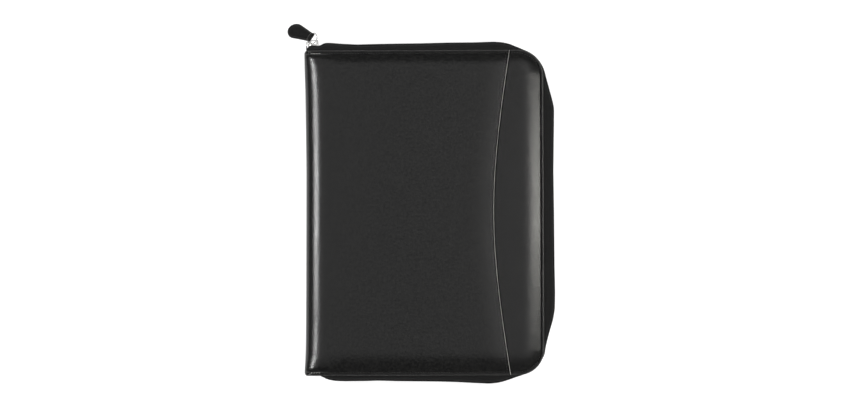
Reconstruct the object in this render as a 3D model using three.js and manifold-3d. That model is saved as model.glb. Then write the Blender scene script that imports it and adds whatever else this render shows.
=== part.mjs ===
// A zip-round leather document case, lying closed on its back.
// One leather wrap makes the padded back, turns round the spine and lies over the front as an outside pocket
// whose mouth is a shallow curve. The padded front cover lies under it, and a zip on two soft tapes closes
// the other three sides. A slider, a ring and a leather pull tab hang at the head end of the spine.
//
// Millimetres. +X runs from the spine to the fore edge, +Y from tail to head, +Z up out of the front.
// The origin is the middle of the flat back, which the case rests on.
import * as THREE from 'three';
import { mergeVertices } from 'three/addons/utils/BufferGeometryUtils.js';
import Module from 'manifold-3d';

const wasm = await Module();
wasm.setup();

// Covers
const coverWidth = 244;
const coverHeight = 332;
const foreCorner = 26.5;
const innermostCorner = 4;
const insideDepth = 21;
const boardEdge = 1.5;
const leather = 1.3;
const padHeight = 3;
const pocketPad = 0.9;
const seam = 3.2;
const padRunHead = 18;
const padRunFore = 20;
const padRunTail = 27;
const clearance = 0.3;

// Spine
const spineReach = 17.5;
const spineWall = 2.2;
const spineCorner = 2;
const spineBow = 2.6;
const spineSquareness = 2.3;

// Pocket mouth
const mouthReach = 210;
const mouthSag = 16.8;
const mouthBend = 1.5;
const mouthTaper = 24;

// Zip
const tapeThickness = 1;
const tapeSeam = 7;
const tapeTurn = 3;
const zipBulge = 10.8;
const chainWidth = 5.4;
const chainThickness = 2.2;

// Slider, with a bail on it and a small round eye at its nose
const sliderLength = 11.7;
const sliderInset = 9;
const bladeWidth = 7.8;
const bladeRearWidth = 6.8;
const bladeThickness = 1.2;
const bailLength = 8.4;
const bailShift = 1.3;
const bailHeight = 4.4;
const bailThickness = 1.2;
const bailWall = 1.1;
const bailEye = 5.2;
const noseEyeRadius = 2.4;
const noseEyeBore = 1.8;

// Pull: a wire loop with one straight side, and a leather tab folded round that side
const loopRadius = 6.4;
const loopRound = 1;
const loopWire = 0.9;
const foldWidth = 9.6;
const foldLeather = 0.8;
const tabLength = 30;
const tabWidth = 16.6;
const tabThickness = 2;

// Where the padding stands above the stitched edge: shares of its run inwards, and of its height.
const padProfile = [
  { inward: 0, up: 0 },
  { inward: 0.1, up: 0.27 },
  { inward: 0.24, up: 0.55 },
  { inward: 0.42, up: 0.78 },
  { inward: 0.66, up: 0.94 },
  { inward: 1, up: 1 },
];

// How far the spine is drawn in, from tail (0) to head (1), as shares of spineBow.
const spineDraw = [
  { along: 0, inward: 0 },
  { along: 0.015, inward: 0 },
  { along: 0.04, inward: 0.25 },
  { along: 0.08, inward: 0.46 },
  { along: 0.14, inward: 0.58 },
  { along: 0.26, inward: 0.73 },
  { along: 0.5, inward: 0.92 },
  { along: 0.63, inward: 1 },
  { along: 0.75, inward: 0.87 },
  { along: 0.88, inward: 0.68 },
  { along: 0.93, inward: 0.45 },
  { along: 1, inward: 0.35 },
];

// How far the zip stands out beyond the covers, as shares of zipBulge, at shares of each run's length.
// Head and tail run from the spine to the fore corner, the fore run from head to tail.
const headRun = [
  { along: 0.075, out: 0.44 },
  { along: 0.1, out: 0.56 },
  { along: 0.135, out: 0.57 },
  { along: 0.18, out: 0.5 },
  { along: 0.25, out: 0.45 },
  { along: 0.32, out: 0.49 },
  { along: 0.43, out: 0.53 },
  { along: 0.55, out: 0.55 },
  { along: 0.68, out: 0.6 },
  { along: 0.8, out: 0.61 },
  { along: 0.876, out: 0.6 },
  { along: 0.932, out: 0.47 },
  { along: 0.965, out: 0.33 },
  { along: 1, out: 0.1 },
];
const foreRun = [
  { along: 0, out: 0.07 },
  { along: 0.03, out: 0.26 },
  { along: 0.06, out: 0.46 },
  { along: 0.09, out: 0.67 },
  { along: 0.118, out: 0.84 },
  { along: 0.16, out: 0.88 },
  { along: 0.35, out: 0.85 },
  { along: 0.5, out: 0.89 },
  { along: 0.7, out: 0.92 },
  { along: 0.79, out: 0.96 },
  { along: 0.855, out: 0.93 },
  { along: 0.895, out: 0.76 },
  { along: 0.93, out: 0.5 },
  { along: 0.965, out: 0.27 },
  { along: 1, out: 0.07 },
];
const tailRun = [
  { along: 0.052, out: -0.2 },
  { along: 0.07, out: -0.06 },
  { along: 0.09, out: 0.1 },
  { along: 0.117, out: 0.27 },
  { along: 0.145, out: 0.38 },
  { along: 0.18, out: 0.44 },
  { along: 0.286, out: 0.43 },
  { along: 0.342, out: 0.4 },
  { along: 0.43, out: 0.45 },
  { along: 0.62, out: 0.49 },
  { along: 0.71, out: 0.54 },
  { along: 0.79, out: 0.62 },
  { along: 0.865, out: 0.68 },
  { along: 0.906, out: 0.61 },
  { along: 0.934, out: 0.49 },
  { along: 0.965, out: 0.31 },
  { along: 1, out: 0.09 },
];
const cornerRun = [
  { along: 0.125, out: 0.02 },
  { along: 0.25, out: -0.03 },
  { along: 0.375, out: -0.06 },
  { along: 0.5, out: -0.07 },
  { along: 0.625, out: -0.06 },
  { along: 0.75, out: -0.03 },
  { along: 0.875, out: 0.02 },
];

// Smoothness of the faceted solids
const cornerSteps = 8;
const spineSteps = 18;
const middleRows = 9;
const tapeSteps = 6;
const wireSides = 8;
const loopSteps = 7;

// Levels and edges that several pieces share
const halfInside = insideDepth / 2;
const halfEdge = halfInside + boardEdge + clearance + leather;
const midZ = halfEdge + padHeight + pocketPad;
const left = -coverWidth / 2;
const right = coverWidth / 2;
const head = coverHeight / 2;
const tail = -coverHeight / 2;
const spineX = left + spineReach;
const halfChain = chainWidth / 2;
const tapeEnd = halfChain + clearance;

const lerp = THREE.MathUtils.lerp;

// The value of a table at a share of its length, on straight lines between its rows.
function lookUp(table, along, column) {
  const next = Math.max(1, table.findIndex((row) => row.along >= along));
  const [from, to] = [table[next - 1], table[next]];
  const share = THREE.MathUtils.clamp((along - from.along) / (to.along - from.along), 0, 1);
  return lerp(from[column], to[column], share);
}

// Surfaces are gathered as triangles and closed by merging the points they share.
class Skin {
  constructor() {
    this.numbers = [];
  }

  triangle(a, b, c) {
    for (const p of [a, b, c]) this.numbers.push(p.x, p.y, p.z);
  }

  // Quads between two lines of equally many points.
  strip(lineA, lineB) {
    for (let i = 0; i + 1 < lineA.length; i += 1) {
      this.triangle(lineA[i], lineA[i + 1], lineB[i + 1]);
      this.triangle(lineA[i], lineB[i + 1], lineB[i]);
    }
  }

  // A flat loop of points; flat gives each point's place in the loop's own plane, where it runs anticlockwise.
  cap(loop, flat) {
    for (const [a, b, c] of THREE.ShapeUtils.triangulateShape(loop.map(flat), [])) {
      this.triangle(loop[a], loop[b], loop[c]);
    }
  }

  geometry() {
    const soup = new THREE.BufferGeometry();
    soup.setAttribute('position', new THREE.Float32BufferAttribute(this.numbers, 3));
    return mergeVertices(soup, 1e-3);
  }
}

const point = (x, y, z) => new THREE.Vector3(x, y, z);

// Contours of a cover: the edge itself, the stitched seam, and on inwards up the padding.
const contours = [
  { up: 0, head: 0, fore: 0, tail: 0 },
  ...padProfile.map(({ inward, up }) => ({
    up,
    head: lerp(seam, padRunHead, inward),
    fore: lerp(seam, padRunFore, inward),
    tail: lerp(seam, padRunTail, inward),
  })),
];

// One contour in plan, anticlockwise from the spine side at the tail round the fore edge to the head.
function contourLine(contour, startX, z) {
  const radius = Math.max(foreCorner - contour.fore, innermostCorner);
  const centreX = right - contour.fore - radius;
  const [bottom, top] = [tail + contour.tail, head - contour.head];
  const arc = (centreY, fromAngle) =>
    Array.from({ length: cornerSteps + 1 }, (_, i) => {
      const angle = fromAngle + (i / cornerSteps) * (Math.PI / 2);
      return point(centreX + radius * Math.cos(angle), centreY + radius * Math.sin(angle), z);
    });
  return [
    point(startX, bottom, z),
    ...arc(bottom + radius, -Math.PI / 2),
    ...arc(top - radius, 0),
    point(startX, top, z),
  ];
}

// Rows across the cover from tail to head, which follow the same contours.
const crownContour = contours[contours.length - 1];
const rows = [
  ...contours.map((contour) => ({ y: tail + contour.tail, up: contour.up })),
  ...Array.from({ length: middleRows }, (_, i) => ({
    y: lerp(tail + crownContour.tail, head - crownContour.head, (i + 1) / (middleRows + 1)),
    up: 1,
  })),
  ...contours.toReversed().map((contour) => ({ y: head - contour.head, up: contour.up })),
];

// How far the spine stands out to the left of spineX at a height y of the case.
function spineReachAt(y) {
  const fromEnd = Math.min(head - y, y - tail);
  const rounding = spineCorner * (1 - Math.min(fromEnd / seam, 1));
  return spineReach - spineBow * lookUp(spineDraw, (y - tail) / coverHeight, 'inward') - rounding;
}

// A point on the turn of the spine, from the back (-90 degrees) round to the front (+90 degrees).
function turnPoint(degrees, y, reach, half) {
  const angle = THREE.MathUtils.degToRad(degrees);
  const power = 2 / spineSquareness;
  const across = Math.abs(Math.cos(angle)) ** power;
  const up = Math.sign(angle) * Math.abs(Math.sin(angle)) ** power;
  return point(spineX - reach * across, y, midZ + half * up);
}

// The pocket's mouth: a shallow curve, deepest in the middle of the case's height.
function mouthX(y) {
  const bend = Math.sqrt(1 + (mouthBend * (y / head)) ** 2) - 1;
  const fullBend = Math.sqrt(1 + mouthBend ** 2) - 1;
  return left + mouthReach - mouthSag * (1 - bend / fullBend);
}

// Columns of the pocket from the spine to its mouth; full is 1 where its own padding is full and 0 at the mouth.
function pocketColumns(y) {
  const mouth = mouthX(y);
  const taperStart = mouth - mouthTaper;
  return [
    { x: lerp(spineX, taperStart, 0.5), full: 1 },
    { x: taperStart, full: 1 },
    { x: mouth - 0.65 * mouthTaper, full: 0.88 },
    { x: mouth - 0.3 * mouthTaper, full: 0.5 },
    { x: mouth, full: 0 },
  ];
}

const boardTop = (up) => midZ + halfInside + boardEdge + padHeight * up;

// The leather wrap: back, spine and pocket in one.
function leatherWrap() {
  const turns = Array.from({ length: spineSteps + 1 }, (_, i) => -90 + (180 * i) / spineSteps);
  const outer = rows.map(({ y, up }) => {
    const half = halfEdge + (padHeight + pocketPad) * up;
    return [
      ...turns.map((turn) => turnPoint(turn, y, spineReachAt(y), half)),
      ...pocketColumns(y).map(({ x, full }) =>
        point(x, y, midZ + halfEdge + (padHeight + pocketPad * full) * up)),
    ];
  });
  const inner = rows.map(({ y, up }) => {
    const under = boardTop(up) + clearance;
    return [
      ...turns.map((turn) => turnPoint(turn, y, spineReachAt(y) - spineWall, halfInside)),
      point(spineX, y, under),
      ...pocketColumns(y).map(({ x }) => point(x, y, under)),
    ];
  });
  const column = (grid, j) => grid.map((row) => row.at(j));
  const skin = new Skin();
  for (let i = 0; i + 1 < rows.length; i += 1) {
    skin.strip(outer[i], outer[i + 1]);
    skin.strip(inner[i + 1], inner[i]);
  }
  skin.strip(column(inner, -1), column(outer, -1));

  const inPlaneOfY = (p) => new THREE.Vector2(p.x, p.z);
  const endLoop = (i) => [...inner[i], ...outer[i].toReversed()];
  skin.cap(endLoop(0), inPlaneOfY);
  skin.cap(endLoop(rows.length - 1).toReversed(), (p) => new THREE.Vector2(-p.x, p.z));

  const backLines = contours.map((contour) =>
    contourLine(contour, spineX, midZ - halfEdge - (padHeight + pocketPad) * contour.up));
  for (let i = 0; i + 1 < backLines.length; i += 1) skin.strip(backLines[i + 1], backLines[i]);
  const innerEdge = contourLine(contours[0], spineX, midZ - halfInside);
  skin.strip(backLines[0], innerEdge);

  const fromAbove = (p) => new THREE.Vector2(p.x, p.y);
  const fromBelow = (p) => new THREE.Vector2(-p.x, p.y);
  const crownSide = column(outer, 0).slice(contours.length, -contours.length);
  skin.cap([...crownSide, ...backLines.at(-1).toReversed()], fromBelow);
  skin.cap([...innerEdge, ...column(inner, 0).slice(1, -1).toReversed()], fromAbove);
  return skin.geometry();
}

// The padded front cover, under the pocket and out to the fore edge.
function frontCover() {
  const startX = spineX + clearance;
  const lines = contours.map((contour) => contourLine(contour, startX, boardTop(contour.up)));
  const underside = contourLine(contours[0], startX, midZ + halfInside);
  const skin = new Skin();
  skin.strip(underside, lines[0]);
  for (let i = 0; i + 1 < lines.length; i += 1) skin.strip(lines[i], lines[i + 1]);
  skin.cap(lines.at(-1), (p) => new THREE.Vector2(p.x, p.y));
  skin.cap(underside.toReversed(), (p) => new THREE.Vector2(-p.x, p.y));
  const spineSide = [
    underside.at(-1),
    ...lines.map((line) => line.at(-1)),
    ...lines.toReversed().map((line) => line[0]),
    underside[0],
  ];
  skin.cap(spineSide, (p) => new THREE.Vector2(-p.y, p.z));
  return skin.geometry();
}

// Half the height of the tapes, which narrow where they run into the turn of the spine.
function tapeHalfHeight(x) {
  const intoSpine = Math.max(spineX - x, 0);
  const reach = spineReachAt(head) - spineWall - clearance;
  const narrowing = Math.max(1 - (intoSpine / reach) ** spineSquareness, 0);
  return (halfInside - clearance) * narrowing ** (1 / spineSquareness);
}

// Stations of the zip: from the spine along the head, round the fore edge and back along the tail.
// Each has its place on the covers' edge, the way out from it, and how far the chain's middle stands out.
const runAcross = coverWidth - foreCorner;
const chainOut = (out) => zipBulge * out - tapeThickness / 2;
const sliderX = left + sliderInset;
const sliderOut = chainOut(headRun[0].out);
const headStation = (x, bulge) => ({ x, y: head, outX: 0, outY: 1, bulge });
const corner = (centreY, fromAngle, sign) => cornerRun.map(({ along, out }) => {
  const angle = fromAngle - along * (Math.PI / 2);
  const [outX, outY] = [Math.cos(angle), Math.sin(angle)];
  return {
    x: right - foreCorner + foreCorner * outX,
    y: sign * centreY + foreCorner * outY,
    outX,
    outY,
    bulge: chainOut(out),
  };
});
const straightHead = headRun.map(({ along, out }) => headStation(left + along * runAcross, chainOut(out)));
const straightTail = tailRun.toReversed().map(({ along, out }) => ({
  x: left + along * runAcross,
  y: tail,
  outX: 0,
  outY: -1,
  bulge: chainOut(out),
}));
const straightFore = foreRun.map(({ along, out }) => ({
  x: right,
  y: lerp(head - foreCorner, tail + foreCorner, along),
  outX: 1,
  outY: 0,
  bulge: chainOut(out),
}));
const zipFromSlider = [
  ...straightHead,
  ...corner(head - foreCorner, Math.PI / 2, 1),
  ...straightFore,
  ...corner(head - foreCorner, 0, -1),
  ...straightTail,
];

// Sweeps a closed loop of (out, up) places along stations; up is measured from the middle of the case.
function sweep(stations, profile) {
  const loops = stations.map((station) => {
    const loop = profile(station);
    const anticlockwise = THREE.ShapeUtils.isClockWise(loop) ? loop.toReversed() : loop;
    return anticlockwise.map(({ x: out, y: up }) =>
      point(station.x + out * station.outX, station.y + out * station.outY, midZ + up));
  });
  const closed = loops.map((loop) => [...loop, loop[0]]);
  const skin = new Skin();
  for (let i = 0; i + 1 < closed.length; i += 1) skin.strip(closed[i], closed[i + 1]);
  const flatAt = ({ x, y, outX, outY }) => (p) =>
    new THREE.Vector2((p.x - x) * outX + (p.y - y) * outY, p.z);
  const mirrored = (flat) => (p) => flat(p).multiply(new THREE.Vector2(-1, 1));
  skin.cap(loops.at(-1), flatAt(stations.at(-1)));
  skin.cap(loops[0].toReversed(), mirrored(flatAt(stations[0])));
  return skin.geometry();
}

// A tape's section: flat under the cover's edge, then round a quarter turn to the chain. side is 1 for the
// tape on the front cover and -1 for the one on the back.
function tapeProfile(side) {
  return ({ x, bulge }) => {
    const halfHeight = tapeHalfHeight(x);
    const face = bulge + tapeThickness / 2;
    const leaves = Math.min(0, face - tapeTurn);
    const straight = Math.min(tapeEnd + 0.6, halfHeight - tapeThickness - 0.2);
    const line = (thickness) => Array.from({ length: tapeSteps + 1 }, (_, i) => {
      const angle = (i / tapeSteps) * (Math.PI / 2);
      return new THREE.Vector2(
        leaves + (face - thickness - leaves) * Math.sin(angle),
        side * (straight + (halfHeight - thickness - straight) * Math.cos(angle)),
      );
    });
    return [
      new THREE.Vector2(-tapeSeam, side * halfHeight),
      ...line(0),
      new THREE.Vector2(face, side * tapeEnd),
      new THREE.Vector2(face - tapeThickness, side * tapeEnd),
      ...line(tapeThickness).toReversed(),
      new THREE.Vector2(-tapeSeam, side * (halfHeight - tapeThickness)),
    ];
  };
}

// A strip centred on the chain's line, with bevelled edges.
function stripProfile(width, thickness) {
  const bevel = 0.3 * thickness;
  const [halfWidth, half] = [width / 2, thickness / 2];
  return ({ bulge }) => [
    [half, halfWidth - bevel], [half - bevel, halfWidth], [bevel - half, halfWidth], [-half, halfWidth - bevel],
    [-half, bevel - halfWidth], [bevel - half, -halfWidth], [half - bevel, -halfWidth], [half, bevel - halfWidth],
  ].map(([out, up]) => new THREE.Vector2(bulge + out, up));
}

// Where the tapes and the chain start, under the slider.
const tapeStartX = spineX - 0.8 * (spineReachAt(head) - spineWall);
const chainStartX = sliderX - 0.15 * sliderLength;
const tapeStations = [headStation(tapeStartX, sliderOut), ...zipFromSlider];
const stopIndex = zipFromSlider.length - 3;
const chainStations = [headStation(chainStartX, sliderOut), ...zipFromSlider.slice(0, stopIndex + 1)];

// At the tail the chain stops short, and a fabric end runs on to where the tapes end in the spine.
function tailEndTab() {
  const stop = zipFromSlider[stopIndex];
  const start = { ...stop, x: stop.x - clearance };
  return sweep([start, ...zipFromSlider.slice(stopIndex + 1)], stripProfile(chainWidth, chainThickness));
}

// At the head the ends of the tapes are folded in behind the slider's nose, over the end of the spine.
function headEndTab() {
  const fold = new THREE.Shape();
  const noseX = sliderX - sliderLength / 2 - clearance;
  const foldLeft = left + spineCorner;
  const foldRight = sliderX - 0.1 * sliderLength;
  const step = sliderOut - chainThickness / 2 - clearance - bladeThickness - clearance;
  const top = sliderOut + 0.5 * chainThickness;
  const round = noseX - foldLeft;
  fold.moveTo(foldLeft, clearance);
  fold.lineTo(foldRight, clearance);
  fold.lineTo(foldRight, step);
  fold.lineTo(noseX, step);
  fold.lineTo(noseX, top);
  fold.absarc(noseX, top - round, round, Math.PI / 2, Math.PI);
  fold.lineTo(foldLeft, clearance);
  const geometry = new THREE.ExtrudeGeometry(fold, { depth: chainWidth, bevelEnabled: false, curveSegments: 4 });
  return geometry.translate(0, head, midZ - halfChain);
}

const toSolid = (geometry) => {
  const bare = geometry.clone();
  bare.deleteAttribute('normal');
  bare.deleteAttribute('uv');
  const merged = mergeVertices(bare.index ? bare.toNonIndexed() : bare, 1e-4);
  return new wasm.Manifold(new wasm.Mesh({
    numProp: 3,
    vertProperties: merged.attributes.position.array,
    triVerts: new Uint32Array(merged.index.array),
  }));
};

const toGeometry = (solid) => {
  const mesh = solid.getMesh();
  const geometry = new THREE.BufferGeometry();
  geometry.setAttribute('position', new THREE.BufferAttribute(mesh.vertProperties, 3));
  geometry.setIndex(new THREE.BufferAttribute(mesh.triVerts, 1));
  return geometry;
};

// The slider, with X along the zip (nose to -X), Y out of the case and Z across the chain.
const channel = chainThickness / 2 + clearance;
const bladeFace = channel + bladeThickness;

function slider() {
  const slot = tapeThickness / 2 + clearance;
  const halfLength = sliderLength / 2;

  // A blade in plan: rounded at the nose, narrower at the rear.
  const blade = (frontWidth, rearWidth, fromY) => {
    const [halfFront, halfRear] = [frontWidth / 2, rearWidth / 2];
    const outline = new THREE.Shape();
    outline.moveTo(halfLength, -halfRear);
    outline.lineTo(halfLength, halfRear);
    outline.lineTo(halfFront - halfLength, halfFront);
    outline.absarc(halfFront - halfLength, 0, halfFront, Math.PI / 2, 1.5 * Math.PI);
    outline.lineTo(halfLength, -halfRear);
    return new THREE.ExtrudeGeometry(outline, { depth: bladeThickness, bevelEnabled: false, curveSegments: 8 })
      .rotateX(Math.PI / 2)
      .translate(0, fromY + bladeThickness, 0);
  };
  const box = (x0, x1, y0, y1, z0, z1) =>
    new THREE.BoxGeometry(x1 - x0, y1 - y0, z1 - z0).translate((x0 + x1) / 2, (y0 + y1) / 2, (z0 + z1) / 2);
  const plate = (outline) =>
    new THREE.ExtrudeGeometry(outline, { depth: bailThickness, bevelEnabled: false, curveSegments: 8 })
      .translate(0, 0, -bailThickness / 2);

  const parts = [blade(bladeWidth, bladeRearWidth, channel), blade(bladeRearWidth, bladeRearWidth, -bladeFace)];
  const bite = 0.5 * bladeThickness;
  const rimInside = tapeEnd + 0.05;
  const rimFrom = -halfLength + 0.3 * sliderLength;
  for (const side of [-1, 1]) {
    const [low, high] = side > 0 ? [rimInside, bladeRearWidth / 2] : [-bladeRearWidth / 2, -rimInside];
    parts.push(box(rimFrom, halfLength, slot, channel + bite, low, high));
    parts.push(box(rimFrom, halfLength, -channel - bite, -slot, low, high));
  }
  const postHalf = 0.2 * bladeWidth;
  const postFrom = -halfLength + 0.06 * sliderLength;
  parts.push(box(postFrom, chainStartX - sliderX - clearance, -channel - bite, channel + bite, -postHalf, postHalf));

  // The bail: an arch over the outer blade, solid towards the rear, with the eye that the pull hangs in.
  const [bailFrom, bailTo] = [bailShift - bailLength / 2, bailShift + bailLength / 2];
  const arch = new THREE.Shape();
  const crownY = bladeFace + bailHeight;
  const archRound = 0.45 * bailHeight;
  arch.moveTo(bailFrom, bladeFace - bite);
  arch.lineTo(bailTo, bladeFace - bite);
  arch.lineTo(bailTo, crownY - archRound);
  arch.absarc(bailTo - archRound, crownY - archRound, archRound, 0, Math.PI / 2);
  arch.absarc(bailFrom + archRound, crownY - archRound, archRound, Math.PI / 2, Math.PI);
  arch.lineTo(bailFrom, bladeFace - bite);
  const eye = new THREE.Path();
  const eyeRound = archRound - 0.5 * bailWall;
  const [eyeFrom, eyeTo, eyeTop] = [bailFrom + bailWall, bailFrom + bailWall + bailEye, crownY - bailWall];
  eye.moveTo(eyeFrom, bladeFace);
  eye.lineTo(eyeTo, bladeFace);
  eye.lineTo(eyeTo, eyeTop - eyeRound);
  eye.absarc(eyeTo - eyeRound, eyeTop - eyeRound, eyeRound, 0, Math.PI / 2);
  eye.absarc(eyeFrom + eyeRound, eyeTop - eyeRound, eyeRound, Math.PI / 2, Math.PI);
  eye.lineTo(eyeFrom, bladeFace);
  arch.holes.push(eye);
  parts.push(plate(arch));

  const round = new THREE.Shape();
  const [roundX, roundY] = [bailFrom + bailWall / 2 - noseEyeRadius, bladeFace + 0.3 * noseEyeRadius];
  round.absarc(roundX, roundY, noseEyeRadius, 0, 2 * Math.PI);
  const bore = new THREE.Path();
  bore.absarc(roundX, roundY + 0.1 * noseEyeRadius, noseEyeBore / 2, 0, 2 * Math.PI, true);
  round.holes.push(bore);
  parts.push(plate(round));
  return toGeometry(parts.map(toSolid).reduce((whole, part) => whole.add(part)));
}

// The pull hangs in the bail's eye. The loop and the tab share one frame: the loop's straight side, and the
// tab's fold round it, run along Y through the origin; the tab lies towards +X, the loop's bow towards -X.
const { degToRad } = THREE.MathUtils;
const tabHeading = degToRad(154);
const tabSlope = degToRad(29);
const tabRoll = degToRad(35);
const loopPivot = degToRad(-40);
const loopHangsAt = degToRad(27);
const turnTab = new THREE.Matrix4()
  .makeRotationZ(tabHeading)
  .multiply(new THREE.Matrix4().makeRotationY(tabSlope))
  .multiply(new THREE.Matrix4().makeRotationX(tabRoll));
const turnLoop = turnTab.clone().multiply(new THREE.Matrix4().makeRotationY(loopPivot));
const hangsFrom = point(
  sliderX + bailShift - bailLength / 2 + bailWall + 0.52 * bailEye,
  head + sliderOut + bladeFace + 0.37 * bailHeight,
  midZ,
);
const pullOrigin = point(-Math.cos(loopHangsAt), Math.sin(loopHangsAt), 0)
  .multiplyScalar(-loopRadius)
  .applyMatrix4(turnLoop)
  .add(hangsFrom);
const placeLoop = new THREE.Matrix4().setPosition(pullOrigin).multiply(turnLoop);
const placeTab = new THREE.Matrix4().setPosition(pullOrigin).multiply(turnTab);

// The wire loop, swept round its outline.
function wireLoop() {
  const straight = Math.sqrt((loopRadius - loopRound) ** 2 - loopRound ** 2);
  const cornerTurn = Math.PI / 2 + Math.asin(loopRound / (loopRadius - loopRound));
  const outline = new THREE.Shape();
  outline.absarc(-loopRound, straight, loopRound, 0, cornerTurn);
  outline.absarc(0, 0, loopRadius, cornerTurn, 2 * Math.PI - cornerTurn);
  outline.absarc(-loopRound, -straight, loopRound, -cornerTurn, 0);
  const places = outline.getPoints(loopSteps).filter((place, i, all) => place.distanceTo(all.at(i - 1)) > 1e-3);
  const loops = places.map((place, i) => {
    const along = places[(i + 1) % places.length].clone().sub(places.at(i - 1)).normalize();
    return Array.from({ length: wireSides + 1 }, (_, j) => {
      const angle = (j / wireSides) * 2 * Math.PI;
      const outward = (loopWire / 2) * Math.cos(angle);
      return point(place.x + along.y * outward, place.y - along.x * outward, (loopWire / 2) * Math.sin(angle));
    });
  });
  const skin = new Skin();
  loops.forEach((loop, i) => skin.strip(loop, loops.at(i - 1)));
  return skin.geometry();
}

// The tab: a rounded, tapered leaf of leather on a fold that the loop's straight side runs through.
function pullTab() {
  const bevel = 0.25 * tabThickness;
  const foldInside = loopWire / 2 + clearance;
  const foldOutside = foldInside + foldLeather;
  const leafFrom = 0.8 * foldOutside;
  const [halfNeck, roundRadius] = [foldWidth / 2 - bevel, tabWidth / 2 - bevel];
  const roundX = tabLength - foldOutside - tabWidth / 2;
  const taper = Math.asin((roundRadius - halfNeck) / (roundX - leafFrom));
  const outline = new THREE.Shape();
  outline.moveTo(leafFrom, -halfNeck);
  outline.absarc(roundX, 0, roundRadius, -taper - Math.PI / 2, taper + Math.PI / 2);
  outline.lineTo(leafFrom, halfNeck);
  outline.lineTo(leafFrom, -halfNeck);
  const leaf = new THREE.ExtrudeGeometry(outline, {
    depth: tabThickness - 2 * bevel,
    bevelThickness: bevel,
    bevelSize: bevel,
    bevelSegments: 2,
    curveSegments: 8,
  }).translate(0, 0, bevel - tabThickness / 2);
  const tube = (radius, length) => toSolid(new THREE.CylinderGeometry(radius, radius, length, 16));
  const solid = toSolid(leaf).add(tube(foldOutside, foldWidth)).subtract(tube(foldInside, 2 * foldWidth));
  return toGeometry(solid);
}

// Finishes
const coverLeather = new THREE.MeshStandardMaterial({ color: 0x1b1b1c, roughness: 0.38, metalness: 0 });
const tabLeather = new THREE.MeshStandardMaterial({ color: 0x202021, roughness: 0.55, metalness: 0 });
const zipTape = new THREE.MeshStandardMaterial({ color: 0x19191a, roughness: 0.85, metalness: 0 });
const zipCoil = new THREE.MeshStandardMaterial({ color: 0x131314, roughness: 0.5, metalness: 0 });
const nickel = new THREE.MeshStandardMaterial({ color: 0xd4d4d2, roughness: 0.22, metalness: 1 });

const documentCase = new THREE.Group();
function addPiece(name, geometry, material, placement = new THREE.Matrix4()) {
  const mesh = new THREE.Mesh(geometry, material);
  mesh.name = name;
  mesh.applyMatrix4(placement);
  documentCase.add(mesh);
}

addPiece('leather_wrap', leatherWrap(), coverLeather);
addPiece('front_cover', frontCover(), coverLeather);
addPiece('zip_tape_front', sweep(tapeStations, tapeProfile(1)), zipTape);
addPiece('zip_tape_back', sweep(tapeStations, tapeProfile(-1)), zipTape);
addPiece('zip_chain', sweep(chainStations, stripProfile(chainWidth, chainThickness)), zipCoil);
addPiece('zip_head_end', headEndTab(), zipTape);
addPiece('zip_tail_end', tailEndTab(), zipTape);
addPiece('zip_slider', slider(), nickel, new THREE.Matrix4().makeTranslation(sliderX, head + sliderOut, midZ));
addPiece('pull_loop', wireLoop(), nickel, placeLoop);
addPiece('pull_tab', pullTab(), tabLeather, placeTab);

export default documentCase;
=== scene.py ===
"""Looks of the zip-round leather document case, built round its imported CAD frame.

Lengths in the tables are millimetres, as in the part's source; meshes are made in metres.
"""

import math
import random

import bmesh
import bpy
import numpy as np
from mathutils import Matrix, Vector


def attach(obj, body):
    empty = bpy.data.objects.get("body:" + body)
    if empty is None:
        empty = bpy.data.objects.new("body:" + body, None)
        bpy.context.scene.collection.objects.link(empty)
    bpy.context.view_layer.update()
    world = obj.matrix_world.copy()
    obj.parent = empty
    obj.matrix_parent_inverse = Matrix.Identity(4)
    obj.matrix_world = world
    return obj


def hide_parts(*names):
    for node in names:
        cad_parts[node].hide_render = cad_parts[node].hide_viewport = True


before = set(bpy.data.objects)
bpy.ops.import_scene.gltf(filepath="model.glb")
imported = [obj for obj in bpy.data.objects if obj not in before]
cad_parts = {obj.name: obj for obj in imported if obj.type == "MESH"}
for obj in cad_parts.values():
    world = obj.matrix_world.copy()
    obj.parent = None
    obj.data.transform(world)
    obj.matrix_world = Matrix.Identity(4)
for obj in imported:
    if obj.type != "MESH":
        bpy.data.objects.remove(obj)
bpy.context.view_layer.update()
random.seed(7)
rng = np.random.default_rng(7)

MM = 0.001

# Covers
COVER_W, COVER_H = 244.0, 332.0
CORNER = 26.5
INSIDE = 21.0
BOARD = 1.5
LEATHER = 1.3
PAD = 3.0
POCKET_PAD = 0.9
SEAM = 3.2
EDGE_ROUND = 0.4
GROOVE, GROOVE_W, GROOVE_DEPTH = 2.15, 0.55, 0.45
EDGE_FALL = 0.35
RUN_HEAD, RUN_FORE, RUN_TAIL = 18.0, 21.5, 27.0
RUN_SPINE, SPINE_SOFT, SPINE_FULL = 8.0, 32.0, 0.6
PAD_POWER = 2.3
SPINE_BLEND, INNER_SQUEEZE = 40.0, 0.9
GAP = 0.3
WRAP_RIPPLE, FRONT_RIPPLE = (0.05, 90, 11), (0.04, 60, 23)  # height, size, seed
# RUB: width of the lighter edge band, rubbed wear that also serves as a painted highlight.
RUB, PAINT_FROM = 0.6, 0.6
CHANNEL_FROM, CHANNEL_TO = 1.65, 3.6

# Spine
SPINE_REACH = 17.5
SPINE_WALL = 2.2
SPINE_PROUD = 0.75
SPINE_CORNER = 2.0
SIDE_BULGE = 0.25
SPINE_BOW = 2.6
SPINE_INNER_POWER = 2.3

# Pocket mouth
MOUTH_REACH = 210.0
MOUTH_SAG = 16.8
MOUTH_BEND = 1.5
MOUTH_TAPER = 24.0
MOUTH_ROUND = 0.6
TAPER_POWER = 2.2
# Width of the painted shade strip behind the pocket's mouth edge.
PAINTED_SHADE_END = 1.6
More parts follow.
